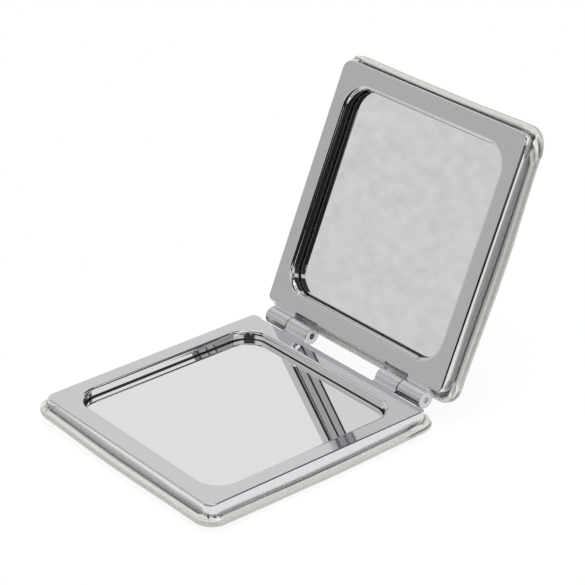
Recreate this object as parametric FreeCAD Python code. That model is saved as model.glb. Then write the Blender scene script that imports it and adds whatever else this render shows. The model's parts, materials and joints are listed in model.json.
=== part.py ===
import FreeCAD, Part

import math
import os

Vec = FreeCAD.Vector
UP = Vec(0, 0, 1)
ALONG_X = Vec(1, 0, 0)
ALONG_Y = Vec(0, 1, 0)
TINY = 1e-4

# Square folding compact mirror. The base lies on its padded cover and the lid stands open behind it.
# Origin: middle of the base's underside. +X runs along the hinge line, +Y towards the hinge, +Z up.
# Lengths are millimetres, angles are degrees. "Depth" counts down from a frame's face.

# Chromed frame
FRAME_WIDTH = 62.0
FRAME_LENGTH = 62.0
FRAME_HEIGHT = 3.7
FRONT_CORNER = 2.5
HINGE_CORNER = 1.5
FACE_EDGE = 0.45
SEAT_EDGE = 0.3

# Window and mirror. The base's mirror lies on foam tape, the lid's on thin tape and so deeper.
WINDOW_SIDE_BAR = 4.8
WINDOW_END_BAR = 5.1
WINDOW_CORNER = 6.0
WINDOW_EDGE = 0.9
RECESS_DEPTH = 3.65
MIRROR_THICKNESS = 0.8
MIRROR_GAP = 0.15
MIRROR_ARRIS = 0.12
BASE_MIRROR_TAPE = 0.75
LID_MIRROR_TAPE = 0.1
MIRROR_TAPE_INSET = 1.5

# Padded cover: a leatherette skin round a foam-edged board
SKIN = 0.5
BEAD_RADIUS = 1.0
BEAD_RISE = 0.75
GROOVE = 0.03
COVER_CORNER = 5.0
COVER_HINGE_REACH = 0.63
CROWN = 0.96
CROWN_FLAT_MARGIN = 0.5
BOARD_THICKNESS = 0.7
BOARD_EDGE_FOAM = 1.8
HEM_WIDTH = 3.0
HEM_CLEARANCE = 0.3
COVER_TAPE_THICKNESS = 0.1

# Hinges: the base carries the inner knuckles, the lid the outer ones
LID_OPEN = 114.2
CLOSED_GAP = 0.2
HINGE_SETBACK = 2.8
KNUCKLE_RADIUS = 2.15
KNUCKLE_SIDE_INSET = 3.35
OUTER_KNUCKLE_LENGTH = 7.65
INNER_KNUCKLE_LENGTH = 7.5
KNUCKLE_SIDE_GAP = 0.15
KNUCKLE_EDGE = 0.2
KNUCKLE_BLEND = 0.6
KNUCKLE_ROOT = 1.0
RELIEF_DEPTH = 0.6
RELIEF_END_GAP = 0.5
PIN_RADIUS = 0.75
PIN_CLEARANCE = 0.05
PIN_EDGE = 0.15
PIN_OUTER_INSET = 0.1
PIN_INNER_INSET = 1.0

# Magnets behind the front bar
MAGNET_RADIUS = 1.5
MAGNET_LENGTH = 2.8
MAGNET_SKIN = 0.8
MAGNET_CLEARANCE = 0.05
MAGNET_SPACING = 30.0

# Bead and crown of the cover, worked out outward from the frame's wall. At the hinge the cover reaches
# further than on the other three sides.
COVER_LENGTH = FRAME_LENGTH + COVER_HINGE_REACH
COVER_SHIFT = COVER_HINGE_REACH / 2
SEAT_DEPTH = FRAME_HEIGHT
BEAD_CENTRE_DEPTH = SEAT_DEPTH + BEAD_RADIUS - BEAD_RISE
BEAD_CENTRE_OUT = GROOVE + math.sqrt(2 * BEAD_RADIUS * BEAD_RISE - BEAD_RISE ** 2)
OVERHANG = BEAD_CENTRE_OUT + BEAD_RADIUS
CORNER_AXIS_OUT = OVERHANG - COVER_CORNER
SHOULDER = COVER_CORNER - BEAD_RADIUS - CROWN_FLAT_MARGIN
CROWN_TURN = 2 * math.atan(CROWN / SHOULDER)
CROWN_RADIUS = BEAD_RADIUS + SHOULDER / math.sin(CROWN_TURN)
COVER_DEPTH = BEAD_CENTRE_DEPTH + BEAD_RADIUS + CROWN

# Heights and the hinge axis
FACE = COVER_DEPTH
SEAT = FACE - SEAT_DEPTH
BACK = FRAME_LENGTH / 2
AXIS = Vec(0, BACK + HINGE_SETBACK, FACE + CLOSED_GAP / 2)

# Spans of the knuckles along X, on the right-hand side, worked out inward from the frame's side
KNUCKLE_OUTER_END = FRAME_WIDTH / 2 - KNUCKLE_SIDE_INSET
KNUCKLE_SPLIT = KNUCKLE_OUTER_END - OUTER_KNUCKLE_LENGTH
KNUCKLE_INNER_END = KNUCKLE_SPLIT - INNER_KNUCKLE_LENGTH
INNER_SPAN = (KNUCKLE_INNER_END, KNUCKLE_SPLIT - KNUCKLE_SIDE_GAP / 2)
OUTER_SPAN = (KNUCKLE_SPLIT + KNUCKLE_SIDE_GAP / 2, KNUCKLE_OUTER_END)
BASE_RELIEF = (INNER_SPAN[1], KNUCKLE_OUTER_END + RELIEF_END_GAP)
LID_RELIEF = (KNUCKLE_INNER_END - RELIEF_END_GAP, OUTER_SPAN[0])

# Plan sizes of what lies in the window and in the hem
WINDOW_WIDTH = FRAME_WIDTH - 2 * WINDOW_SIDE_BAR
WINDOW_LENGTH = FRAME_LENGTH - 2 * WINDOW_END_BAR
BOSS_INSET = HEM_WIDTH + HEM_CLEARANCE
BOSS_LOW = SEAT - SKIN + COVER_TAPE_THICKNESS


def slab(width, length, low, high, front_corner, hinge_corner):
    """A plate centred on the origin in plan, with its upright edges rounded."""
    block = Part.makeBox(width, length, high - low, Vec(-width / 2, -length / 2, low))
    for side, corner in ((-1, front_corner), (1, hinge_corner)):
        upright = [edge for edge in block.Edges
                   if edge.BoundBox.ZLength > TINY and edge.CenterOfMass.y * side > 0]
        block = block.makeFillet(corner, upright)
    return block


def inset_slab(inset, low, high, corner):
    """A plate that follows the frame's plan outline at a steady inset."""
    return slab(FRAME_WIDTH - 2 * inset, FRAME_LENGTH - 2 * inset, low, high, corner, corner)


def window_slab(inset, low, high):
    """A plate that follows the window's plan outline at a steady inset."""
    corner = WINDOW_CORNER - inset
    return slab(WINDOW_WIDTH - 2 * inset, WINDOW_LENGTH - 2 * inset, low, high, corner, corner)


def edges_at(shape, height):
    """Edges that lie in one horizontal plane."""
    return [edge for edge in shape.Edges
            if all(abs(vertex.Z - height) < TINY for vertex in edge.Vertexes)
            and abs(edge.CenterOfMass.z - height) < TINY]


def within(edge, half_width, half_length):
    """True where the middle of an edge lies inside a rectangle round the origin."""
    middle = edge.CenterOfMass
    return abs(middle.x) < half_width and abs(middle.y) < half_length


def both_sides(shape):
    """A shape and its mirror image across the YZ plane."""
    return [shape, shape.mirror(Vec(), ALONG_X)]


def hinge_rod(radius, span):
    """A cylinder on the hinge axis between two places along X."""
    return Part.makeCylinder(radius, span[1] - span[0], AXIS + ALONG_X * span[0], ALONG_X)


def knuckle_section(x):
    """Outline of a knuckle and the web that blends it into the frame's face."""
    centre = AXIS + ALONG_X * x
    reach = KNUCKLE_RADIUS + KNUCKLE_BLEND
    rise = KNUCKLE_BLEND - CLOSED_GAP / 2
    blend_centre = Vec(x, AXIS.y - math.sqrt(reach ** 2 - rise ** 2), FACE + KNUCKLE_BLEND)
    towards = (centre - blend_centre).normalize()
    lean = (towards - UP).normalize()
    root = BACK - KNUCKLE_ROOT
    face_start = Vec(x, root, FACE)
    blend_start = blend_centre - UP * KNUCKLE_BLEND
    blend_middle = blend_centre + lean * KNUCKLE_BLEND
    blend_end = blend_centre + towards * KNUCKLE_BLEND
    rear = centre + ALONG_Y * KNUCKLE_RADIUS
    bottom = centre - UP * KNUCKLE_RADIUS
    root_end = Vec(x, root, bottom.z)
    edges = [Part.LineSegment(face_start, blend_start).toShape(),
             Part.Arc(blend_start, blend_middle, blend_end).toShape(),
             Part.Arc(blend_end, rear, bottom).toShape(),
             Part.LineSegment(bottom, root_end).toShape(),
             Part.LineSegment(root_end, face_start).toShape()]
    return Part.Face(Part.Wire(edges))


def knuckle(span, bore_radius):
    """One knuckle with its web, eased at both ends and bored for the pin."""
    body = knuckle_section(span[0]).extrude(ALONG_X * (span[1] - span[0]))
    ends = [edge for edge in body.Edges
            if any(abs(edge.CenterOfMass.x - x) < TINY for x in span)
            and edge.CenterOfMass.y > BACK - KNUCKLE_ROOT + TINY]
    return body.makeFillet(KNUCKLE_EDGE, ends).cut(hinge_rod(bore_radius, span))


def magnet_rod(radius, low, high):
    """An upright rod behind the front bar, on the right-hand side."""
    place = Vec(MAGNET_SPACING / 2, WINDOW_END_BAR / 2 - BACK, low)
    return Part.makeCylinder(radius, high - low, place, UP)


def frame_block():
    """The frame's outer block, before its edges are eased."""
    return slab(FRAME_WIDTH, FRAME_LENGTH, SEAT, FACE, FRONT_CORNER, HINGE_CORNER)


def frame(knuckle_span, relief_span, bore_radius):
    """Chromed frame: face, walls, recess with a floor, knuckles, reliefs and magnet pockets."""
    body = frame_block()
    body = body.makeFillet(FACE_EDGE, edges_at(body, FACE))
    body = body.makeFillet(SEAT_EDGE, edges_at(body, SEAT))
    for shape in both_sides(hinge_rod(HINGE_SETBACK + RELIEF_DEPTH, relief_span)):
        body = body.cut(shape)
    for shape in both_sides(knuckle(knuckle_span, bore_radius)):
        body = body.fuse(shape)
    body = body.fuse(inset_slab(BOSS_INSET, BOSS_LOW, SEAT, WINDOW_CORNER))
    body = body.cut(window_slab(0, FACE - RECESS_DEPTH, FACE + FACE_EDGE))
    window = [edge for edge in edges_at(body, FACE)
              if within(edge, WINDOW_WIDTH / 2 + TINY, WINDOW_LENGTH / 2 + TINY)]
    body = body.makeFillet(WINDOW_EDGE, window)
    for shape in both_sides(magnet_rod(MAGNET_RADIUS + MAGNET_CLEARANCE, BOSS_LOW, FACE - MAGNET_SKIN)):
        body = body.cut(shape)
    return body.removeSplitter()


def mirror(tape):
    """Mirror glass on its tape, with a fine arris round its front."""
    low = FACE - RECESS_DEPTH + tape
    glass = window_slab(MIRROR_GAP, low, low + MIRROR_THICKNESS)
    return glass.makeChamfer(MIRROR_ARRIS, edges_at(glass, low + MIRROR_THICKNESS))


def mirror_tape(tape):
    """Tape between the mirror and the frame's floor."""
    low = FACE - RECESS_DEPTH
    return window_slab(MIRROR_GAP + MIRROR_TAPE_INSET, low, low + tape)


def pad_section(skin):
    """Outline of the padded cover's rim, drawn at +X, with a thickness of skin taken off."""
    def at(out, depth):
        return Vec(FRAME_WIDTH / 2 + out, 0, FACE - depth)
    radius = BEAD_RADIUS - skin
    seat_depth = SEAT_DEPTH + skin
    bead_start = BEAD_CENTRE_OUT - math.sqrt(radius ** 2 - (BEAD_CENTRE_DEPTH - seat_depth) ** 2)
    centre_out = BEAD_CENTRE_OUT - SHOULDER
    centre_depth = COVER_DEPTH - CROWN_RADIUS
    shoulder_radius = CROWN_RADIUS - skin

    def on_shoulder(turn):
        return at(centre_out + shoulder_radius * math.sin(turn),
                  centre_depth + shoulder_radius * math.cos(turn))
    seat_inner = at(CORNER_AXIS_OUT, seat_depth)
    seat_outer = at(bead_start, seat_depth)
    bead_middle = at(BEAD_CENTRE_OUT + radius, BEAD_CENTRE_DEPTH)
    bead_end = on_shoulder(CROWN_TURN)
    flat_outer = on_shoulder(0)
    flat_inner = at(CORNER_AXIS_OUT, COVER_DEPTH - skin)
    edges = [Part.LineSegment(seat_inner, seat_outer).toShape(),
             Part.Arc(seat_outer, bead_middle, bead_end).toShape(),
             Part.Arc(bead_end, on_shoulder(CROWN_TURN / 2), flat_outer).toShape(),
             Part.LineSegment(flat_outer, flat_inner).toShape(),
             Part.LineSegment(flat_inner, seat_inner).toShape()]
    return Part.Face(Part.Wire(edges))


def pad(skin):
    """The padded cover as one crowned body, with a thickness of skin taken off all round."""
    section = pad_section(skin)
    corner_x = FRAME_WIDTH / 2 + CORNER_AXIS_OUT
    corner_y = COVER_LENGTH / 2 + CORNER_AXIS_OUT
    corner_section = section.translated(ALONG_Y * corner_y)
    corner = corner_section.revolve(Vec(corner_x, corner_y, 0), UP, 90)
    far_section = corner_section.rotated(Vec(corner_x, corner_y, 0), UP, 90)
    low = FACE - COVER_DEPTH + skin
    high = SEAT - skin
    quarter = Part.makeBox(corner_x, corner_y, high - low, Vec(0, 0, low))
    sides = [section.extrude(ALONG_Y * corner_y), far_section.extrude(ALONG_X * -corner_x)]
    for shape in sides + [corner]:
        quarter = quarter.fuse(shape)
    half = quarter.fuse(quarter.mirror(Vec(), ALONG_X))
    whole = half.fuse(half.mirror(Vec(), ALONG_Y)).removeSplitter()
    return whole.translated(ALONG_Y * COVER_SHIFT)


def backing_board():
    """Stiff board that the cover is wrapped on."""
    inset = BOARD_EDGE_FOAM - OVERHANG + SKIN
    high = SEAT - SKIN
    corner = COVER_CORNER - BOARD_EDGE_FOAM - SKIN
    board = slab(FRAME_WIDTH - 2 * inset, COVER_LENGTH - 2 * inset,
                 high - BOARD_THICKNESS, high, corner, corner)
    return board.translated(ALONG_Y * COVER_SHIFT)


def cover():
    """Leatherette skin with a hem turned in over the board; the frame's corners press into its bead."""
    hem_opening = inset_slab(HEM_WIDTH, SEAT - SKIN, SEAT, WINDOW_CORNER)
    return pad(0).cut(pad(SKIN)).cut(hem_opening).cut(frame_block())


def foam_pad():
    """Foam under the board and round its edge."""
    return pad(SKIN).cut(backing_board())


def cover_tape():
    """Tape sheet inside the hem, between the frame's back and the board."""
    return inset_slab(BOSS_INSET, SEAT - SKIN, BOSS_LOW, WINDOW_CORNER)


def magnet():
    """The right-hand magnet, against the skin of its pocket."""
    high = FACE - MAGNET_SKIN
    return magnet_rod(MAGNET_RADIUS, high - MAGNET_LENGTH, high)


def hinge_pin():
    """The right-hand pin, nearly flush outside and short of the inner knuckle's end."""
    span = (KNUCKLE_INNER_END + PIN_INNER_INSET, KNUCKLE_OUTER_END - PIN_OUTER_INSET)
    pin = hinge_rod(PIN_RADIUS, span)
    ends = [edge for edge in pin.Edges if edge.BoundBox.XLength < TINY]
    return pin.makeChamfer(PIN_EDGE, ends)


def half_pieces(knuckle_span, relief_span, bore_radius, tape):
    """Every piece of one half, lying face up where the base lies."""
    right_magnet, left_magnet = both_sides(magnet())
    return {"frame": frame(knuckle_span, relief_span, bore_radius),
            "mirror": mirror(tape),
            "mirror_tape": mirror_tape(tape),
            "cover": cover(),
            "foam_pad": foam_pad(),
            "backing_board": backing_board(),
            "cover_tape": cover_tape(),
            "left_magnet": left_magnet,
            "right_magnet": right_magnet}


def opened(shape):
    """Turns a half face down onto the base, then swings it open about the hinge."""
    closed = shape.mirror(AXIS, UP)
    return closed.rotated(AXIS, ALONG_X, -LID_OPEN)


def build():
    """All nodes by name, in the open pose."""
    base = half_pieces(INNER_SPAN, BASE_RELIEF, PIN_RADIUS + PIN_CLEARANCE, BASE_MIRROR_TAPE)
    lid = half_pieces(OUTER_SPAN, LID_RELIEF, PIN_RADIUS, LID_MIRROR_TAPE)
    nodes = {"base_" + name: shape for name, shape in base.items()}
    for name, shape in lid.items():
        nodes["lid_" + name] = opened(shape)
    right_pin, left_pin = both_sides(hinge_pin())
    nodes["right_hinge_pin"] = right_pin
    nodes["left_hinge_pin"] = left_pin
    return nodes


os.makedirs("parts", exist_ok=True)
for node_name, node_shape in build().items():
    node_shape.exportStep(os.path.join("parts", node_name + ".step"))
    print(node_name, len(node_shape.Solids), node_shape.isValid(), round(node_shape.Volume, 2))
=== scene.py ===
import json
import math
from collections import namedtuple

import bmesh
import bpy
import numpy as np
from mathutils import Matrix, Quaternion, Vector


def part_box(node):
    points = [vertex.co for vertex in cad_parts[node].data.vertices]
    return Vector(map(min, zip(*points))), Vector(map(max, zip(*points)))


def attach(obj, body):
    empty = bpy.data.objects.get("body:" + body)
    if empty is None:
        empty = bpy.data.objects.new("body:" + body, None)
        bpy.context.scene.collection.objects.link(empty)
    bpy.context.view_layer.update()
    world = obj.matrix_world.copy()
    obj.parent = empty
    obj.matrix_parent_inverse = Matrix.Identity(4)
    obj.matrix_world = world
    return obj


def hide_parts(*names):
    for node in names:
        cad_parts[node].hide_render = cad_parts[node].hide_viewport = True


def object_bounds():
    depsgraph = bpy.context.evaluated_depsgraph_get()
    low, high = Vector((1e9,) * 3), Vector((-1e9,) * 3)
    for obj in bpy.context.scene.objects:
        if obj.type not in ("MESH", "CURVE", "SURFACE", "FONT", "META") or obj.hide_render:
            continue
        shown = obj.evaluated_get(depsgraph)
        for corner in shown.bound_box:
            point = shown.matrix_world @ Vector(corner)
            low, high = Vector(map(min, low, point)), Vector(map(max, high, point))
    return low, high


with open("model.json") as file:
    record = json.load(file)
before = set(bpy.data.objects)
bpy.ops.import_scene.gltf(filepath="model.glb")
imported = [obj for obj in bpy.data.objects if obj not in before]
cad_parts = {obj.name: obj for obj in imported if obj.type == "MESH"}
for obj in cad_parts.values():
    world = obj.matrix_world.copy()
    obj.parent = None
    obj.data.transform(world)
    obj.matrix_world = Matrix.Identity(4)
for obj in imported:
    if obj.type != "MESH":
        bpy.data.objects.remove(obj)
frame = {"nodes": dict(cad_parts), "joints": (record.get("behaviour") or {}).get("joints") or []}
cad_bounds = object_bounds()

# Lengths are millimetres and angles are degrees, unless a name or comment says otherwise. Meshes and the
# frame are in metres.
MM = 0.001

# Camera at the photograph's viewpoint
CAMERA_PLACE = (354.96, -273.05, 265.73)
CAMERA_AIM = (-12.18, 27.67, 20.07)
CAMERA_ROLL = -0.74
CAMERA_LENS = 140.0
CAMERA_SENSOR = 36.0
CAMERA_NEAR = 1.0

# Leatherette skin, its hem under the frame and the bead that it forms round the frame
SKIN = 0.5
HEM_WIDTH = 3.0
HEM_SLACK = 0.03
BEAD_RADIUS = 1.0
RIM_CORNER = 5.0
FLAT_MARGIN = 0.5
SHOULDER = RIM_CORNER - BEAD_RADIUS - FLAT_MARGIN
DOME = 0.12
DOME_POWER = 4
RIPPLE = 0.2
RIPPLE_CYCLES = (7, 13, 23, 41)
RIPPLE_STRENGTHS = (0.5, 1.0)

# Raised lips of a crease: their height as a share of its depth, their distance as a multiple of its width
LIP = 0.8
LIP_DISTANCE = 2

# Angles round the bead between which the skin comes free of the pad, closes on the frame's wall, gets a
# painted highlight on its crest, and, facing the wall, gets painted light over the groove's shade and a
# smoother grain
FREE_ANGLES = (-88, -45)
CLOSING_ANGLES = (95, 150)
CREST_HIGHLIGHT_START = (15, 75)
CREST_HIGHLIGHT_END = (80, 125)
GROOVE_SIDE_ANGLES = (90, 140)

# How tightly the padded pieces are filled, from 0 to 1
SKIN_FILL = 0.8
FOAM_FILL = 0.9

# Mesh density of the padded pieces: steps round half a corner and along a straight side, and along a section
SKIN_STEPS = (34, 80)
FOAM_STEPS = (8, 10)
HEM_STEPS = 4
BEAD_STEPS = 40
SHOULDER_STEPS = 8

# Noise is given as the size of its spots, its detail and its roughness; cells as their size and smoothness;
# relief as its depth and strength. Colours in pairs are those of low and high values.
BLACK = (0, 0, 0)

# Chrome plate: satin on the flat face, rough on the knuckles, with rings turned on their ends, and painted
# shade that darkens the lid's flat face
PLATE_NOISE = (0.35, 4, 0.7)
PLATE_LEVELS = (0.3, 0.7)
PLATE_COLOURS = ((0.64, 0.645, 0.665), (0.76, 0.765, 0.785))
PLATE_ROUGHNESS = 0.025
PLATE_RELIEF_NOISE = (0.5, 3, 0.5)
PLATE_RELIEF = (0.002, 0.03)
FACE_COSINES = (0.99, 0.9995)
SATIN_NOISE = (1.2, 5, 0.65)
SATIN = {"base": (0.0, 0.05), "lid": (0.04, 0.1)}
# Painted shade: how far each half's flat face is darkened towards black
FACE_SHADE = {"base": 0.0, "lid": 0.14}
KNUCKLE_MARGIN = 0.1
KNUCKLE_ROUGHNESS = 0.27
KNUCKLE_END_COSINES = (0.9, 0.98)
RING_PITCH = 0.4
RING_COLOURS = ((0.40, 0.40, 0.41), (0.80, 0.80, 0.81))

# Mirror: a silver with a trace of haze, and a painted dark border for the shadowed gap at its edge and the
# glass's cut edge with its reflection
MIRROR_CORNER = 5.9
MIRROR_EDGE_SHADE = 0.55
EDGE_SOFTNESS = 0.1
EDGE_SHADE_COLOUR = (0.02, 0.024, 0.022)
HAZE_NOISE = (5.0, 5, 0.6)
HAZE_ROUGHNESS = 0.025
SILVER_COLOURS = ((0.88, 0.89, 0.885), (0.905, 0.912, 0.908))

# Leatherette: pebbles, cloudy tone, painted light with speckle on the side that faces the frame, painted
# highlight on the crest and raised folds, and painted shade in creases and pockets
PEBBLES = (0.42, 0.5)
FINE_GRAIN_NOISE = (0.16, 3, 0.6)
FINE_GRAIN_SHARE = 0.3
PEBBLE_LEVELS = (0.3, 0.7)
PEBBLE_COLOURS = ((0.43, 0.425, 0.40), (0.53, 0.525, 0.50))
CLOUD_NOISE = (1.6, 5, 0.6)
CLOUD_SHARE = 0.25
CLOUD_COLOUR = (0.74, 0.735, 0.71)
# Painted light with speckle on the side that faces the frame, lifting the groove's shade; that side's relief
LIFT_SPECKLE_NOISE = (0.3, 2, 0.6)
LIFT_SPECKLE_LEVELS = (0.38, 0.62)
LIFT_SPECKLE_COLOURS = ((0.66, 0.655, 0.635), (1.0, 0.995, 0.97))
GROOVE_LIFT_SHARE = 0.7
GROOVE_SIDE_RELIEF = 0.3
# Painted highlight on the crest and on raised folds
CREST_HIGHLIGHT_SHARE = 0.6
CREST_HIGHLIGHT_COLOUR = (0.90, 0.895, 0.87)
# Painted shade in creases and pockets: fold depths, share and colour
FOLD_SHADE_DEPTHS = (0.08, 0.5)
FOLD_SHADE_SHARE = 0.88
FOLD_SHADE_COLOUR = (0.07, 0.067, 0.06)
LEATHER_SHEEN = 0.4
LEATHER_ROUGHNESS = (0.26, 0.38)
LEATHER_RELIEF = (0.1, 0.3)

# Foam
FOAM_CELLS = (0.5, 0.2)
FOAM_COLOURS = ((0.62, 0.60, 0.54), (0.86, 0.84, 0.78))
FOAM_ROUGHNESS = 0.95
FOAM_RELIEF = (0.1, 0.6)

# Tape, board, magnets and pins: a plain stuff with a fine uneven grain
TAPE_COLOURS = ((0.80, 0.79, 0.75), (0.90, 0.89, 0.86))
BOARD_COLOURS = ((0.36, 0.34, 0.31), (0.46, 0.44, 0.41))
NICKEL_COLOURS = ((0.58, 0.57, 0.54), (0.68, 0.67, 0.63))
STEEL_COLOURS = ((0.36, 0.36, 0.36), (0.48, 0.48, 0.48))
GRAIN_DETAIL = (5, 0.6)
GRAIN_ROUGHENING = (0.8, 1.2)
GRAIN_RELIEF = (0.02, 0.4)

# White table top
FLOOR_LEFT = -62.0
FLOOR_RIGHT = 160.0
FLOOR_FRONT = -62.0
FLOOR_BACK = 800.0
FLOOR_WHITE = 0.94
FLOOR_GLOW = 0.9

# Soft boxes: place and watts
LAMP_SIZE = 360.0
LAMPS = {"soft_box_above": ((0, 100, 1000), 2.0), "soft_box_front": ((120, -300, 950), 1.8)}

# Room round the studio: its brightness for the light that falls on things and for what is mirrored in them
ROOM_LIGHT = 0.45
ROOM_MIRRORED = 0.8

# Cards round the studio: azimuth (0 is +X, 90 is +Y), half width, lowest and highest elevation, brightness
# and the softness of the upright edges. A flag is a dark card.
CARD_SOFTNESS = 2.0
Card = namedtuple("Card", "azimuth half_width low high brightness side_softness", defaults=(CARD_SOFTNESS,))
OVERHEAD_BOX = Card(72, 132, 53, 95, 1.6)
BACK_CARD = Card(141, 52, -15, 35, 0.81)
RIGHT_BOX = Card(45, 46, -15, 36, 1.1)
FRONT_FILL = Card(272, 60, 8, 50, 1.0)
FRONT_FLAG = Card(270, 25, -30, 20, 0.02)
CAMERA_FLAG = Card(-40, 33, -30, 14, 0.02)
LOW_FLAG = Card(5, 18, -30, -4, 0.02)
STRIP_FLAG = Card(316, 7, 12, 40, 0.03)
CORNER_FLAG = Card(309, 26, 24, 32, 0.05, 6.0)
HIGH_FLAG = Card(278, 72, 52, 74, 0.04)
ZENITH_FLAG = Card(110, 56, 62, 77, 0.08)
LEFT_FLAG = Card(243, 9, 30, 54, 0.1)
BACK_FLAG = Card(58, 76, 38, 60, 0.12)
EDGE_FLAG = Card(46, 18, 36, 52, 0.04)
SIDE_FLAG = Card(13, 16, 29, 43, 0.03)
GAP_FLAG = Card(200, 16, 36, 43, 0.04)
SIDE_CARD = Card(0, 9, 45, 52, 0.55)
LEFT_CARD = Card(185, 22, 42, 64, 0.76)
PAPERED_WALL = Card(219, 20, -2, 37, 0.66)
PAPER_SWING = 0.2
PAPER_SCALE = 190

# Where the lid stands: the base's half turned about the upright through the hinge, then raised
LID_JOINT = frame["joints"][0]
HINGE_PLACE = Vector(LID_JOINT["pos_m"])
LID_RAISE = math.radians(LID_JOINT["range_deg"][1])
BASE_TO_LID = (Matrix.Translation(HINGE_PLACE) @ Matrix.Rotation(LID_RAISE, 4, "X")
               @ Matrix.Rotation(math.pi, 4, "Z") @ Matrix.Translation(-HINGE_PLACE))
ALONG_HINGE = (1, 0, 0)
ACROSS_HINGE = (0, 1, 1)
BASE_FACE_NORMAL = Vector((0, 0, 1))
LID_FACE_NORMAL = BASE_TO_LID.to_3x3() @ BASE_FACE_NORMAL

# Corners in turn round the rim, as signs in plan: front right, back right, back left, front left. Stations
# are the corners and the middles of the sides.
CORNER_SIGNS = np.array(((1, -1), (1, 1), (-1, 1), (-1, -1)))
SIDES = len(CORNER_SIGNS)
STATIONS = 2 * SIDES


def millimetres(node):
    """Lowest and highest corner of a solid."""
    low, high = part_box(node)
    return np.array(low) / MM, np.array(high) / MM


# Sizes that the solids give
FRAME_HIGH = millimetres("base_frame")[1]
COVER_LOW, COVER_HIGH = millimetres("base_cover")
BOARD_LOW, BOARD_HIGH = millimetres("base_backing_board")
SEAT = BOARD_HIGH[2] + SKIN
OVERHANG = COVER_HIGH[0] - FRAME_HIGH[0]
KNUCKLE_RADIUS = FRAME_HIGH[1] - HINGE_PLACE.y / MM
BEAD_HEIGHT = COVER_HIGH[2] - BEAD_RADIUS
COVER_CENTRE = (COVER_LOW[:2] + COVER_HIGH[:2]) / 2
COVER_HALF = (COVER_HIGH[:2] - COVER_LOW[:2]) / 2


# Padded covers

def smoothstep(low, high, value):
    """0 below low, 1 above high, and a smooth rise between."""
    share = np.clip((value - low) / (high - low), 0, 1)
    return share * share * (3 - 2 * share)


class Rim:
    """Points round the outermost line of a padded half, in turn from the front right corner's middle.

    Each point has its outward normal, its station (even at a corner, odd at the middle of a side), its
    nearest corner and the distance along the rim from that corner's middle.
    """

    def __init__(self, corner_steps, straight_steps):
        self.corner_steps = corner_steps
        self.straight_steps = straight_steps
        self.axes = COVER_CENTRE + CORNER_SIGNS * (COVER_HALF - RIM_CORNER)
        sides = [self.side(index) for index in range(SIDES)]
        self.points, self.normals, self.stations, self.corners, self.alongs = map(
            np.concatenate, zip(*sides))
        self.side_steps = len(self.points) // SIDES

    def side(self, index):
        """The points from one corner's middle to the next."""
        turn = index * math.pi / 2
        following = (index + 1) % SIDES
        start, end = self.axes[index], self.axes[following]
        bends = np.linspace(0, math.pi / 4, self.corner_steps, endpoint=False)
        angles = turn + np.concatenate((bends - math.pi / 4, np.zeros(self.straight_steps), bends))
        eased = (1 - np.cos(np.linspace(0, math.pi, self.straight_steps, endpoint=False))) / 2
        shares = np.concatenate((np.zeros(self.corner_steps), eased, np.ones(self.corner_steps)))
        normals = np.column_stack((np.cos(angles), np.sin(angles)))
        points = start + np.outer(shares, end - start) + RIM_CORNER * normals
        run = np.linalg.norm(end - start)
        length = run + RIM_CORNER * math.pi / 2
        along = RIM_CORNER * (angles - turn + math.pi / 4) + run * shares
        late = along > length / 2
        stations = 2 * index + 2 * along / length
        corners = np.where(late, following, index)
        return points, normals, stations, corners, np.where(late, along - length, along)

    def row(self, out, height):
        """One line of vertices, at an offset from the outermost line and a height."""
        plan = self.points + self.normals * np.reshape(out, (-1, 1))
        return np.column_stack((plan, np.broadcast_to(height, len(plan))))

    def round_stations(self, values):
        """Values that are given at the stations, eased between them."""
        values = np.array(values)
        whole = self.stations.astype(int)
        ease = smoothstep(0, 1, self.stations - whole)
        return values[whole % STATIONS] * (1 - ease) + values[(whole + 1) % STATIONS] * ease


class Profile:
    """Section of the padded cover from the hem to the flat, with a thickness taken off.

    Offsets count outward from the outermost line. Angles are those of the outward normal: 180 faces the
    frame's wall, 90 faces up, 0 faces out and -90 faces down.
    """

    def __init__(self, inset):
        radius = BEAD_RADIUS - inset
        crown = BEAD_HEIGHT - BEAD_RADIUS
        turn = 2 * math.atan(crown / SHOULDER)
        shoulder_radius = BEAD_RADIUS + SHOULDER / math.sin(turn)
        self.hem_out = -OVERHANG - HEM_WIDTH
        self.seat = SEAT - HEM_SLACK - inset
        start = math.pi - math.asin((self.seat - BEAD_HEIGHT) / radius)
        bead = np.linspace(start, turn - math.pi / 2, BEAD_STEPS)
        shoulder = np.linspace(turn, 0, SHOULDER_STEPS + 1)[1:]
        bead_out = radius * np.cos(bead) - BEAD_RADIUS
        bead_height = radius * np.sin(bead) + BEAD_HEIGHT
        shoulder_out = (shoulder_radius - inset) * np.sin(shoulder) - BEAD_RADIUS - SHOULDER
        shoulder_height = shoulder_radius - (shoulder_radius - inset) * np.cos(shoulder)
        self.out = np.concatenate((bead_out, shoulder_out))
        self.height = np.concatenate((bead_height, shoulder_height))
        self.angle = np.degrees(np.concatenate((bead, shoulder - math.pi / 2)))


def round_bead(angle):
    """Distance round the bead, from its outermost line, of an angle."""
    return BEAD_RADIUS * math.radians(angle)


class Crease:
    """A narrow fold with raised lips between two places on the bead.

    A place is a distance along the rim from the corner's middle and an angle round the bead.
    """

    def __init__(self, start, end, depth, width):
        self.start = np.array((start[0], round_bead(start[1])))
        self.run = np.array((end[0], round_bead(end[1]))) - self.start
        self.depth = depth
        self.width = width

    def rise(self, along, angle):
        way = np.column_stack((along, np.full(len(along), round_bead(angle)))) - self.start
        share = np.clip(way @ self.run / (self.run @ self.run), 0, 1)
        across = np.linalg.norm(way - np.outer(share, self.run), axis=1) / self.width
        lips = LIP * np.exp(-(across - LIP_DISTANCE) ** 2)
        return self.depth * np.sqrt(np.sin(math.pi * share)) * (lips - np.exp(-across ** 2))


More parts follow.
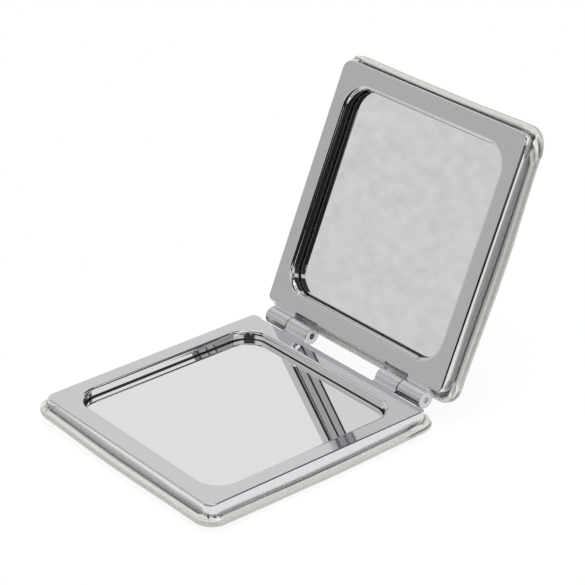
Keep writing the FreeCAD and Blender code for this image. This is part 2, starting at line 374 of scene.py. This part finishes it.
class Swell:
    """A soft swelling on the bead, or a pocket where its height is negative."""

    def __init__(self, along, angle, length, girth, height):
        self.along = along
        self.arc = round_bead(angle)
        self.length = length
        self.girth = girth
        self.height = height

    def rise(self, along, angle):
        reach = ((along - self.along) / self.length) ** 2 + ((round_bead(angle) - self.arc) / self.girth) ** 2
        return self.height * np.exp(-reach)


class Wrap:
    """How one half is wrapped: how far its bead stands out and up round the rim, and its folds by corner."""

    def __init__(self, out, up, folds, seed):
        self.out = out
        self.up = up
        self.folds = folds
        self.seed = seed

    def rise(self, rim, angle):
        """What the folds of all corners add to the bead at an angle."""
        total = np.zeros(len(rim.points))
        for corner, folds in enumerate(self.folds):
            here = rim.corners == corner
            for fold in folds:
                total[here] += fold.rise(rim.alongs[here], angle)
        return total


# How the two halves are wrapped, as the photograph shows it; corners out of sight have a plain gather
HIDDEN_GATHER = (
    Crease((-3.2, 105), (0.4, 40), 0.3, 0.22),
    Crease((0.5, 110), (3.6, 55), 0.3, 0.22),
    Swell(0.0, 135, 0.6, 0.4, -0.4))
BASE_FRONT_RIGHT = (
    Swell(-2.7, 122, 1.1, 0.55, 0.5),
    Crease((-1.3, 158), (-0.3, 78), 0.5, 0.26),
    Swell(0.5, 122, 0.5, 0.5, 0.3),
    Swell(1.4, 128, 0.35, 0.4, -0.5),
    Swell(2.3, 120, 0.45, 0.4, 0.3),
    Swell(3.3, 130, 0.45, 0.4, -0.4),
    Crease((-14, 66), (2.5, 56), 0.14, 0.26))
BASE_BACK_RIGHT = (
    Crease((-9.5, 14), (0.9, 34), 0.4, 0.22),
    Crease((-7.5, 142), (-2.8, 98), 0.4, 0.24),
    Swell(-0.4, 108, 1.7, 0.5, 0.25),
    Swell(0.7, 135, 0.5, 0.4, -0.45))
BASE_FRONT_LEFT = (
    Swell(0.0, 100, 2.2, 0.6, 0.15),
    Crease((1.2, 122), (2.4, 58), 0.3, 0.2),
    Crease((2.7, 125), (4.3, 58), 0.28, 0.2),
    Swell(-0.8, 132, 0.5, 0.4, -0.45),
    Crease((-3.2, 100), (-0.5, 28), 0.26, 0.22))
LID_TOP_LEFT = (
    Crease((0.6, 38), (-4.4, 125), 0.5, 0.26),
    Swell(-1.6, 95, 1.0, 0.5, 0.35),
    Swell(-2.8, 136, 0.5, 0.4, -0.45))
LID_HINGE_RIGHT = (
    Swell(-1.5, 138, 2.0, 0.6, -0.9),
    Crease((0.3, 58), (5.2, 118), 0.5, 0.28),
    Crease((-0.6, 36), (3.4, 14), 0.36, 0.24),
    Swell(1.6, 84, 1.2, 0.45, 0.3),
    Swell(-0.8, 96, 1.0, 0.5, 0.3),
    Crease((5, 46), (42, 58), 0.16, 0.28))
LID_TOP_RIGHT = (
    Crease((-1.0, 150), (-6.8, 66), 0.55, 0.28),
    Crease((-0.4, 80), (-5.6, 8), 0.5, 0.26),
    Crease((0.7, 104), (-3.2, 136), 0.4, 0.24),
    Swell(0.4, 138, 0.7, 0.5, -0.6),
    Crease((1.0, 126), (6.2, 142), 0.36, 0.24),
    Swell(-3.0, 100, 1.6, 0.4, 0.3),
    Swell(-5.2, 120, 1.4, 0.4, 0.3),
    Swell(1.8, 116, 0.6, 0.45, 0.25),
    Crease((-5, 46), (-42, 58), 0.16, 0.28))
BASE_WRAP = Wrap(
    out=(-0.1, -0.2, -0.15, 0.0, 0.0, 0.05, 0.1, 0.2),
    up=(0.05, -0.28, 0.25, 0.05, 0.1, 0.1, 0.88, 0.07),
    folds=(BASE_FRONT_RIGHT, BASE_BACK_RIGHT, HIDDEN_GATHER, BASE_FRONT_LEFT),
    seed=3)
LID_WRAP = Wrap(
    out=(-0.35, 0.0, 0.0, 0.0, 0.0, 0.35, -0.1, -0.5),
    up=(0.3, 0.0, 0.05, 0.05, -0.1, -0.35, 0.25, 0.8),
    folds=(LID_TOP_LEFT, HIDDEN_GATHER, LID_HINGE_RIGHT, LID_TOP_RIGHT),
    seed=8)


def ripple(rim, seed):
    """A faint unevenness along the bead, as hand-wrapped leatherette has."""
    draw = np.random.default_rng(seed)
    turns = rim.stations / STATIONS
    wave = np.zeros(len(turns))
    for cycles in RIPPLE_CYCLES:
        strength = draw.uniform(*RIPPLE_STRENGTHS) / cycles
        wave += strength * np.sin(2 * math.pi * (cycles * turns + draw.uniform()))
    return RIPPLE * wave


def dome(plan):
    """Height of the gently domed outer face over a place in plan."""
    share = np.max(np.abs(plan[..., :2] - COVER_CENTRE) / COVER_HALF, axis=-1)
    return DOME * share ** DOME_POWER


def section_rows(rim, section):
    """Lines of vertices along a section, whose shoulder runs into the dome."""
    rows = []
    for out, height, angle in zip(section.out, section.height, section.angle):
        row = rim.row(out, height)
        row[:, 2] += dome(row) * (1 - smoothstep(*FREE_ANGLES, angle))
        rows.append(row)
    return rows


def cap_grid(row, steps):
    """A grid of points inside a closed line of vertices, eased from its four sides."""
    share = np.linspace(0, 1, steps + 1)
    right = row[:steps + 1]
    back = row[steps:2 * steps + 1][::-1]
    left = row[2 * steps:3 * steps + 1][::-1]
    front = np.vstack((row[3 * steps:], row[:1]))
    u = share[None, :, None]
    v = share[:, None, None]
    across = (1 - u) * left[:, None] + u * right[:, None]
    along = (1 - v) * front[None] + v * back[None]
    corners = (1 - v) * ((1 - u) * left[0] + u * right[0]) + v * ((1 - u) * left[-1] + u * right[-1])
    return across + along - corners


def cap_numbers(first, start, steps):
    """Vertex numbers of a cap: its edge is the line that starts at `first`, its inside starts at `start`."""
    ring = first + np.arange(4 * steps + 1) % (4 * steps)
    grid = np.zeros((steps + 1, steps + 1), int)
    grid[:, -1] = ring[:steps + 1]
    grid[-1, ::-1] = ring[steps:2 * steps + 1]
    grid[::-1, 0] = ring[2 * steps:3 * steps + 1]
    grid[0] = ring[3 * steps:]
    grid[1:-1, 1:-1] = start + np.arange((steps - 1) ** 2).reshape(steps - 1, steps - 1)
    return grid


def quads(numbers):
    """Faces between the neighbours in a grid of vertex numbers."""
    corners = (numbers[:-1, :-1], numbers[:-1, 1:], numbers[1:, 1:], numbers[1:, :-1])
    return np.stack(corners, -1).reshape(-1, 4)


def face_outward(mesh):
    """Turns all faces of a closed mesh outward and shades them smooth."""
    shell = bmesh.new()
    shell.from_mesh(mesh)
    bmesh.ops.recalc_face_normals(shell, faces=shell.faces)
    shell.to_mesh(mesh)
    shell.free()
    mesh.polygons.foreach_set("use_smooth", [True] * len(mesh.polygons))


def closed_piece(name, rim, rows, first_level, last_level, marks=None):
    """A closed body from lines of vertices round the rim, with a grid over its first and its last line."""
    count, steps = len(rim.points), rim.side_steps
    numbers = np.arange(len(rows) * count).reshape(len(rows), count)
    faces = [quads(np.hstack((numbers, numbers[:, :1])))]
    vertices = [np.vstack(rows)]
    start = len(rows) * count
    for first, row, level in ((0, rows[0], first_level), (start - count, rows[-1], last_level)):
        inside = cap_grid(row, steps)[1:-1, 1:-1]
        inside[..., 2] = level(inside)
        vertices.append(inside.reshape(-1, 3))
        faces.append(quads(cap_numbers(first, start, steps)))
        start += (steps - 1) ** 2
    mesh = bpy.data.meshes.new(name)
    mesh.from_pydata((np.vstack(vertices) * MM).tolist(), [], np.vstack(faces).tolist())
    for mark, lines in (marks or {}).items():
        values = np.concatenate(lines)
        layer = mesh.attributes.new(mark, "FLOAT", "POINT")
        layer.data.foreach_set("value", np.pad(values, (0, start - len(values))))
    face_outward(mesh)
    piece = bpy.data.objects.new(name, mesh)
    bpy.context.scene.collection.objects.link(piece)
    return piece


def leather_cover(name, wrap):
    """Leatherette skin of one half, lying where the base lies: inside, hem, bead, shoulder and back."""
    rim = Rim(*SKIN_STEPS)
    outer, inner = Profile(0), Profile(SKIN)
    stand_out = rim.round_stations(wrap.out)
    stand_up = rim.round_stations(wrap.up)
    wave = ripple(rim, wrap.seed)
    rows = section_rows(rim, inner)[::-1]
    rows.append(rim.row(outer.hem_out, inner.seat))
    rows += [rim.row(out, outer.seat) for out in np.linspace(outer.hem_out, outer.out[0], HEM_STEPS)[:-1]]
    plain = np.zeros(len(rim.points))
    marks = {mark: [plain] * len(rows) for mark in ("fold", "crest_highlight", "groove_lift")}
    for row, angle in zip(section_rows(rim, outer), outer.angle):
        free = smoothstep(*FREE_ANGLES, angle)
        clear = free * (1 - smoothstep(*CLOSING_ANGLES, angle))
        folding = wrap.rise(rim, angle)
        rise = wave * clear + folding * free
        turn = math.radians(angle)
        row[:, :2] += rim.normals * (rise * math.cos(turn) + stand_out * clear)[:, None]
        row[:, 2] += rise * math.sin(turn) + stand_up * free
        rows.append(row)
        # Painted highlight: the crest mark lightens the bead's crest, and raised folds through their rise
        crest_highlight = smoothstep(*CREST_HIGHLIGHT_START, angle) * (1 - smoothstep(*CREST_HIGHLIGHT_END, angle))
        # Painted shade: the fold mark darkens creases and pockets
        marks["fold"].append(np.maximum(-folding, 0))
        marks["crest_highlight"].append(np.maximum(folding, 0) + crest_highlight)
        # Painted light: this mark lightens the side that faces the frame's wall, where the groove is shaded
        marks["groove_lift"].append(plain + smoothstep(*GROOVE_SIDE_ANGLES, angle))
    return closed_piece(name, rim, rows, lambda plan: SKIN + dome(plan), dome, marks)


def foam_pad(name):
    """Foam tray under the board and round its edge."""
    rim = Rim(*FOAM_STEPS)
    inset = SKIN + HEM_SLACK
    section = Profile(inset)
    edge = BOARD_HIGH[0] - COVER_HIGH[0]
    board = BOARD_LOW[2]
    rows = [rim.row(edge - FLAT_MARGIN, board), rim.row(edge, board), rim.row(edge, section.seat)]
    rows += section_rows(rim, section)
    return closed_piece(name, rim, rows, lambda plan: board, lambda plan: inset + dome(plan))


def build_soft_pieces():
    """The soft pieces of both halves, in place of their plain solids."""
    skin = leatherette()
    filling = foam()
    for half, wrap, place in (("base", BASE_WRAP, Matrix.Identity(4)), ("lid", LID_WRAP, BASE_TO_LID)):
        cover = leather_cover(half + "_leather_cover", wrap)
        pad = foam_pad(half + "_foam")
        for piece, finish, slot, node, fill in ((cover, skin, "leatherette", "_cover", SKIN_FILL),
                                                (pad, filling, "foam", "_foam_pad", FOAM_FILL)):
            piece.data.materials.append(finish)
            piece.data.transform(place)
            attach(piece, half)
            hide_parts(half + node)


# Materials

def colour_socket(sockets, name):
    """The socket of a name that carries a colour, out of those of other kinds with the same name."""
    return next(socket for socket in sockets if socket.name == name and socket.type == "RGBA")


class Nodes:
    """A node tree under construction."""

    def __init__(self, tree):
        self.tree = tree

    def node(self, kind, **attributes):
        made = self.tree.nodes.new(kind)
        for key, value in attributes.items():
            setattr(made, key, value)
        return made

    def feed(self, value, socket):
        """Links a socket, or sets a constant."""
        if isinstance(value, bpy.types.NodeSocket):
            self.tree.links.new(value, socket)
        else:
            socket.default_value = value

    def math(self, operation, *values):
        made = self.node("ShaderNodeMath", operation=operation)
        for value, socket in zip(values, made.inputs):
            self.feed(value, socket)
        return made.outputs[0]

    def span(self, value, levels=(0, 1), results=(0, 1), **attributes):
        """A value carried from one range of levels to another of results, and held at their ends."""
        made = self.node("ShaderNodeMapRange", **attributes)
        for socket, setting in zip(made.inputs[1:5], (*levels, *results)):
            socket.default_value = setting
        self.feed(value, made.inputs["Value"])
        return made.outputs["Result"]

    def mix_shader(self, share, first, second, output):
        """Leads a blend of two shaders to the tree's output."""
        made = self.node("ShaderNodeMixShader")
        for value, socket in zip((share, first, second), made.inputs):
            self.feed(value, socket)
        self.feed(made.outputs[0], self.tree.nodes[output].inputs["Surface"])


class Finish(Nodes):
    """A node material: its shader and its object coordinates."""

    def __init__(self, name):
        self.material = bpy.data.materials.new(name)
        self.material.use_nodes = True
        super().__init__(self.material.node_tree)
        self.shader = self.tree.nodes["Principled BSDF"]
        coordinates = self.node("ShaderNodeTexCoord")
        self.place = coordinates.outputs["Object"]
        self.normal = coordinates.outputs["Normal"]

    def set(self, **inputs):
        """Links or sets the shader's inputs, named with underscores."""
        for key, value in inputs.items():
            self.feed(value, self.shader.inputs[key.replace("_", " ").title().replace("Ior", "IOR")])

    def noise(self, size, detail, roughness):
        """Cloudy noise whose spots are about `size` millimetres across."""
        made = self.node("ShaderNodeTexNoise")
        made.inputs["Scale"].default_value = 1 / (size * MM)
        made.inputs["Detail"].default_value = detail
        made.inputs["Roughness"].default_value = roughness
        self.feed(self.place, made.inputs["Vector"])
        return made.outputs["Fac"]

    def cells(self, size, smoothness):
        """Rounded cells about `size` millimetres across."""
        made = self.node("ShaderNodeTexVoronoi", feature="SMOOTH_F1")
        made.inputs["Scale"].default_value = 1 / (size * MM)
        made.inputs["Smoothness"].default_value = smoothness
        self.feed(self.place, made.inputs["Vector"])
        return made.outputs["Distance"]

    def attribute(self, name):
        return self.node("ShaderNodeAttribute", attribute_name=name).outputs["Fac"]

    def vector(self, operation, *values, output="Vector"):
        made = self.node("ShaderNodeVectorMath", operation=operation)
        for value, socket in zip(values, made.inputs):
            self.feed(value, socket)
        return made.outputs[output]

    def dot(self, first, second):
        return self.vector("DOT_PRODUCT", first, second, output="Value")

    def tint(self, share, first, second):
        """A colour between two colours, which may be sockets."""
        made = self.node("ShaderNodeMix", data_type="RGBA")
        self.feed(share, made.inputs["Factor"])
        for value, name in ((first, "A"), (second, "B")):
            colour = value if isinstance(value, bpy.types.NodeSocket) else (*value, 1)
            self.feed(colour, colour_socket(made.inputs, name))
        return colour_socket(made.outputs, "Result")

    def bump(self, height, depth, strength):
        """Surface relief, `depth` millimetres deep."""
        made = self.node("ShaderNodeBump")
        made.inputs["Strength"].default_value = strength
        made.inputs["Distance"].default_value = depth * MM
        self.feed(height, made.inputs["Height"])
        self.feed(made.outputs["Normal"], self.shader.inputs["Normal"])


def chrome(half, face_normal):
    """Chrome plate: satin on the flat face and the knuckles, bright on walls and rounded edges; painted shade
    darkens the lid's flat face.
    """
    finish = Finish(half + "_chrome_plate")
    flat = finish.span(finish.dot(finish.normal, face_normal), FACE_COSINES)
    satin = finish.math("MULTIPLY", flat, finish.span(finish.noise(*SATIN_NOISE), results=SATIN[half]))
    from_hinge = finish.vector("SUBTRACT", finish.place, HINGE_PLACE)
    radius = finish.vector("LENGTH", finish.vector("MULTIPLY", from_hinge, ACROSS_HINGE), output="Value")
    knuckle_edge = (KNUCKLE_RADIUS * MM, (KNUCKLE_RADIUS + KNUCKLE_MARGIN) * MM)
    knuckle = finish.span(radius, knuckle_edge, (1, 0))
    endwise = finish.math("ABSOLUTE", finish.dot(finish.normal, ALONG_HINGE))
    turned = finish.math("MULTIPLY", knuckle, finish.span(endwise, KNUCKLE_END_COSINES))
    rings = finish.math("SINE", finish.math("MULTIPLY", radius, 2 * math.pi / (RING_PITCH * MM)))
    plate = finish.tint(finish.span(finish.noise(*PLATE_NOISE), PLATE_LEVELS), *PLATE_COLOURS)
    # Painted shade: the lid's flat face is darkened towards black
    face_shaded = finish.tint(finish.math("MULTIPLY", flat, FACE_SHADE[half]), plate, BLACK)
    ringed = finish.tint(finish.span(rings, (-1, 1)), *RING_COLOURS)
    rough = finish.math("ADD", satin, finish.math("MULTIPLY", knuckle, KNUCKLE_ROUGHNESS))
    finish.set(metallic=1.0, roughness=finish.math("ADD", rough, PLATE_ROUGHNESS),
               base_color=finish.tint(turned, face_shaded, ringed))
    finish.bump(finish.noise(*PLATE_RELIEF_NOISE), *PLATE_RELIEF)
    return finish.material


def mirror_silver(half, face_normal):
    """Silvered mirror with a trace of haze and a painted dark border, which is a rounded square: painted
    shadow of the gap at its edge and painted reflection of the glass's cut edge.
    """
    finish = Finish(half + "_mirror_silver")
    points = np.array([vertex.co for vertex in frame["nodes"][half + "_mirror"].data.vertices])
    centre = (points.min(0) + points.max(0)) / 2
    reach = max(points[:, 0]) - centre[0]
    haze = finish.noise(*HAZE_NOISE)
    away = finish.vector("SUBTRACT", finish.place, centre)
    past = []
    for axis in (ALONG_HINGE, face_normal.cross(ALONG_HINGE)):
        from_middle = finish.math("ABSOLUTE", finish.dot(away, axis))
        beyond = finish.math("SUBTRACT", from_middle, reach - MIRROR_CORNER * MM)
        past.append(finish.math("POWER", finish.math("MAXIMUM", beyond, 0.0), 2.0))
    outward = finish.math("SQRT", finish.math("ADD", *past))
    inner_edge = (MIRROR_CORNER - MIRROR_EDGE_SHADE) * MM
    # Painted shadow and reflection: a dark border for the shaded gap and the glass's cut edge
    silver = finish.span(outward, (inner_edge, inner_edge + EDGE_SOFTNESS * MM), (1, 0))
    shine = finish.tint(haze, *SILVER_COLOURS)
    finish.set(metallic=silver, roughness=finish.span(haze, results=(0, HAZE_ROUGHNESS)),
               base_color=finish.tint(silver, EDGE_SHADE_COLOUR, shine))
    return finish.material


def leatherette():
    """Silver-grey leatherette with a pebbled grain and a pearly sheen; a painted highlight on the crest and
    raised folds, painted shade in creases and pockets, and painted light with speckle on the side that faces
    the frame.
    """
    finish = Finish("silver_leatherette")
    fine = finish.math("MULTIPLY", finish.noise(*FINE_GRAIN_NOISE), FINE_GRAIN_SHARE)
    grain = finish.math("ADD", finish.cells(*PEBBLES), fine)
    clouds = finish.noise(*CLOUD_NOISE)
    groove_side = finish.attribute("groove_lift")
    # Painted highlight on the crest and raised folds
    highlight_share = finish.math("MULTIPLY", finish.attribute("crest_highlight"), CREST_HIGHLIGHT_SHARE)
    # Painted shade in creases and pockets
    shading = finish.span(finish.attribute("fold"), FOLD_SHADE_DEPTHS, (0, FOLD_SHADE_SHARE))
    pebbled = finish.tint(finish.span(grain, PEBBLE_LEVELS, (1, 0)), *PEBBLE_COLOURS)
    toned = finish.tint(finish.span(clouds, results=(0, CLOUD_SHARE)), pebbled, CLOUD_COLOUR)
    # Painted light with speckle that lifts the shaded groove on the side facing the frame
    lifted_speckle = finish.tint(finish.span(finish.noise(*LIFT_SPECKLE_NOISE), LIFT_SPECKLE_LEVELS), *LIFT_SPECKLE_COLOURS)
    groove_lift = finish.tint(finish.math("MULTIPLY", groove_side, GROOVE_LIFT_SHARE), toned, lifted_speckle)
    highlighted = finish.tint(highlight_share, groove_lift, CREST_HIGHLIGHT_COLOUR)
    finish.set(base_color=finish.tint(shading, highlighted, FOLD_SHADE_COLOUR), metallic=LEATHER_SHEEN,
               roughness=finish.span(clouds, results=LEATHER_ROUGHNESS))
    smoothing = finish.span(groove_side, results=(1, GROOVE_SIDE_RELIEF))
    finish.bump(finish.math("MULTIPLY", grain, smoothing), *LEATHER_RELIEF)
    return finish.material


def foam():
    """Pale open-celled foam."""
    finish = Finish("pale_foam")
    cells = finish.cells(*FOAM_CELLS)
    finish.set(roughness=FOAM_ROUGHNESS, base_color=finish.tint(cells, *FOAM_COLOURS))
    finish.bump(cells, *FOAM_RELIEF)
    return finish.material


def grained(name, colours, size, rough, metallic=0.0):
    """A plain stuff with a fine uneven grain, whose spots are about `size` millimetres across."""
    finish = Finish(name)
    spots = finish.noise(size, *GRAIN_DETAIL)
    roughness = [rough * share for share in GRAIN_ROUGHENING]
    finish.set(metallic=metallic, roughness=finish.span(spots, results=roughness),
               base_color=finish.tint(spots, *colours))
    finish.bump(spots, *GRAIN_RELIEF)
    return finish.material


def tape_film():
    """Pale double-sided tape."""
    return grained("tape_film", TAPE_COLOURS, size=3.0, rough=0.55)


def grey_board():
    """Matt grey board."""
    return grained("grey_board", BOARD_COLOURS, size=2.0, rough=0.85)


def magnet_nickel():
    """Nickel plate of the magnets."""
    return grained("magnet_nickel", NICKEL_COLOURS, size=1.6, rough=0.25, metallic=1.0)


def drawn_steel():
    """Steel wire of the hinge pins."""
    return grained("drawn_steel", STEEL_COLOURS, size=1.0, rough=0.3, metallic=1.0)


def dress(node, material):
    """Gives a solid its finish."""
    mesh = frame["nodes"][node].data
    mesh.materials.clear()
    mesh.materials.append(material)


def dress_solids():
    """Finishes of every solid that stays in view or inside."""
    tape, board, nickel, steel = tape_film(), grey_board(), magnet_nickel(), drawn_steel()
    for half, face_normal in (("base", BASE_FACE_NORMAL), ("lid", LID_FACE_NORMAL)):
        dress(half + "_frame", chrome(half, face_normal))
        dress(half + "_mirror", mirror_silver(half, face_normal))
        dress(half + "_mirror_tape", tape)
        dress(half + "_cover_tape", tape)
        dress(half + "_backing_board", board)
        for side in ("left", "right"):
            dress(f"{half}_{side}_magnet", nickel)
    for side in ("left", "right"):
        dress(side + "_hinge_pin", steel)


# Studio

def build_floor():
    """White table top that keeps the object's shadow; it reaches furthest behind the object."""
    finish = Finish("studio_floor")
    finish.set(base_color=(FLOOR_WHITE, FLOOR_WHITE, FLOOR_WHITE, 1), roughness=1.0, specular_ior_level=0.0)
    rays = finish.node("ShaderNodeLightPath").outputs
    seen = finish.math("ADD", rays["Is Camera Ray"], rays["Is Glossy Ray"])
    seen = finish.math("ADD", seen, rays["Is Transmission Ray"])
    white = finish.node("ShaderNodeEmission").outputs[0]
    glow = finish.math("MULTIPLY", seen, FLOOR_GLOW)
    finish.mix_shader(glow, finish.shader.outputs[0], white, "Material Output")
    mesh = bpy.data.meshes.new("floor")
    level = cad_bounds[0][2]
    corners = ((FLOOR_LEFT, FLOOR_FRONT), (FLOOR_RIGHT, FLOOR_FRONT), (FLOOR_RIGHT, FLOOR_BACK),
               (FLOOR_LEFT, FLOOR_BACK))
    mesh.from_pydata([(x * MM, y * MM, level) for x, y in corners], [], [(0, 1, 2, 3)])
    mesh.materials.append(finish.material)
    floor = bpy.data.objects.new("floor", mesh)
    bpy.context.scene.collection.objects.link(floor)


class Surround(Nodes):
    """Studio surround: cards of one brightness, given by azimuth and elevation, in a pale room."""

    def __init__(self, tree):
        super().__init__(tree)
        self.direction = self.node("ShaderNodeTexCoord").outputs["Generated"]
        self.level = ROOM_LIGHT

    def mottled(self, level, swing, scale):
        """A brightness that swings a little from place to place, as on a papered wall."""
        spots = self.node("ShaderNodeTexNoise")
        spots.inputs["Scale"].default_value = scale
        self.feed(self.direction, spots.inputs["Vector"])
        return self.math("MULTIPLY_ADD", spots.outputs["Fac"], swing, level - swing / 2)

    def inside(self, angle, half, soft):
        """1 within an angle of 0, 0 outside, with a soft edge."""
        edge = (math.radians(half - soft), math.radians(half + soft))
        return self.span(self.math("ABSOLUTE", angle), edge, (1, 0), interpolation_type="SMOOTHSTEP")

    def lay(self, card, shows=1.0):
        """Lays a card over what is there, for the rays that it shows to."""
        turned = self.node("ShaderNodeVectorRotate", rotation_type="Z_AXIS")
        turned.inputs["Angle"].default_value = math.radians(-card.azimuth)
        self.feed(self.direction, turned.inputs["Vector"])
        parts = self.node("ShaderNodeSeparateXYZ")
        self.feed(turned.outputs[0], parts.inputs[0])
        bearing = self.math("ARCTAN2", parts.outputs["Y"], parts.outputs["X"])
        middle = math.radians((card.low + card.high) / 2)
        rise = self.math("SUBTRACT", self.math("ARCSINE", parts.outputs["Z"]), middle)
        cover = self.math("MULTIPLY", self.inside(bearing, card.half_width, card.side_softness),
                          self.inside(rise, (card.high - card.low) / 2, CARD_SOFTNESS))
        cover = self.math("MULTIPLY", cover, shows)
        step = self.math("SUBTRACT", card.brightness, self.level)
        self.level = self.math("MULTIPLY_ADD", cover, step, self.level)


def build_world():
    """A pale room with bright, grey and dark cards; the camera itself sees white behind everything.

    The fill card lights things and isn't mirrored. The flags are mirrored and take no light from things.
    """
    world = bpy.data.worlds.new("studio")
    bpy.context.scene.world = world
    world.use_nodes = True
    room = Surround(world.node_tree)
    rays = room.node("ShaderNodeLightPath").outputs
    mirrored = room.math("ADD", rays["Is Glossy Ray"], rays["Is Transmission Ray"])
    undiffused = room.math("LESS_THAN", rays["Diffuse Depth"], 1.0)
    in_view = room.math("MULTIPLY", mirrored, undiffused)
    room.level = room.math("MULTIPLY_ADD", mirrored, ROOM_MIRRORED - ROOM_LIGHT, ROOM_LIGHT)
    for card in (OVERHEAD_BOX, BACK_CARD, RIGHT_BOX):
        room.lay(card)
    room.lay(FRONT_FILL, shows=room.math("SUBTRACT", 1.0, mirrored))
    for flag in (FRONT_FLAG, CAMERA_FLAG, LOW_FLAG, STRIP_FLAG, CORNER_FLAG, HIGH_FLAG, ZENITH_FLAG,
                 LEFT_FLAG, BACK_FLAG, EDGE_FLAG, SIDE_FLAG, GAP_FLAG):
        room.lay(flag, shows=in_view)
    paper = room.mottled(PAPERED_WALL.brightness, PAPER_SWING, PAPER_SCALE)
    for card in (SIDE_CARD, LEFT_CARD, PAPERED_WALL._replace(brightness=paper)):
        room.lay(card)
    background = world.node_tree.nodes["Background"]
    room.feed(room.level, background.inputs["Color"])
    white = room.node("ShaderNodeBackground")
    white.inputs["Color"].default_value = (1, 1, 1, 1)
    room.mix_shader(rays["Is Camera Ray"], background.outputs[0], white.outputs[0], "World Output")


def build_lamps():
    """Soft boxes above the object, turned to it."""
    for name, (place, watts) in LAMPS.items():
        lamp = bpy.data.lights.new(name, "AREA")
        lamp.size = LAMP_SIZE * MM
        lamp.energy = watts
        box = bpy.data.objects.new(name, lamp)
        box.location = Vector(place) * MM
        box.rotation_euler = (-Vector(place)).to_track_quat("-Z", "Y").to_euler()
        box.visible_glossy = False
        bpy.context.scene.collection.objects.link(box)


def build_camera():
    """The photograph's viewpoint."""
    data = bpy.data.cameras.new("camera")
    data.lens = CAMERA_LENS
    data.sensor_width = CAMERA_SENSOR
    data.clip_start = CAMERA_NEAR * MM
    camera = bpy.data.objects.new("camera", data)
    camera.location = Vector(CAMERA_PLACE) * MM
    aim = (Vector(CAMERA_AIM) - Vector(CAMERA_PLACE)).to_track_quat("-Z", "Y")
    camera.rotation_mode = "QUATERNION"
    camera.rotation_quaternion = aim @ Quaternion((0, 0, 1), math.radians(CAMERA_ROLL))
    bpy.context.scene.collection.objects.link(camera)
    bpy.context.scene.camera = camera


dress_solids()
build_soft_pieces()
build_floor()
build_world()
build_lamps()
build_camera()
bpy.context.scene.view_settings.view_transform = "Standard"
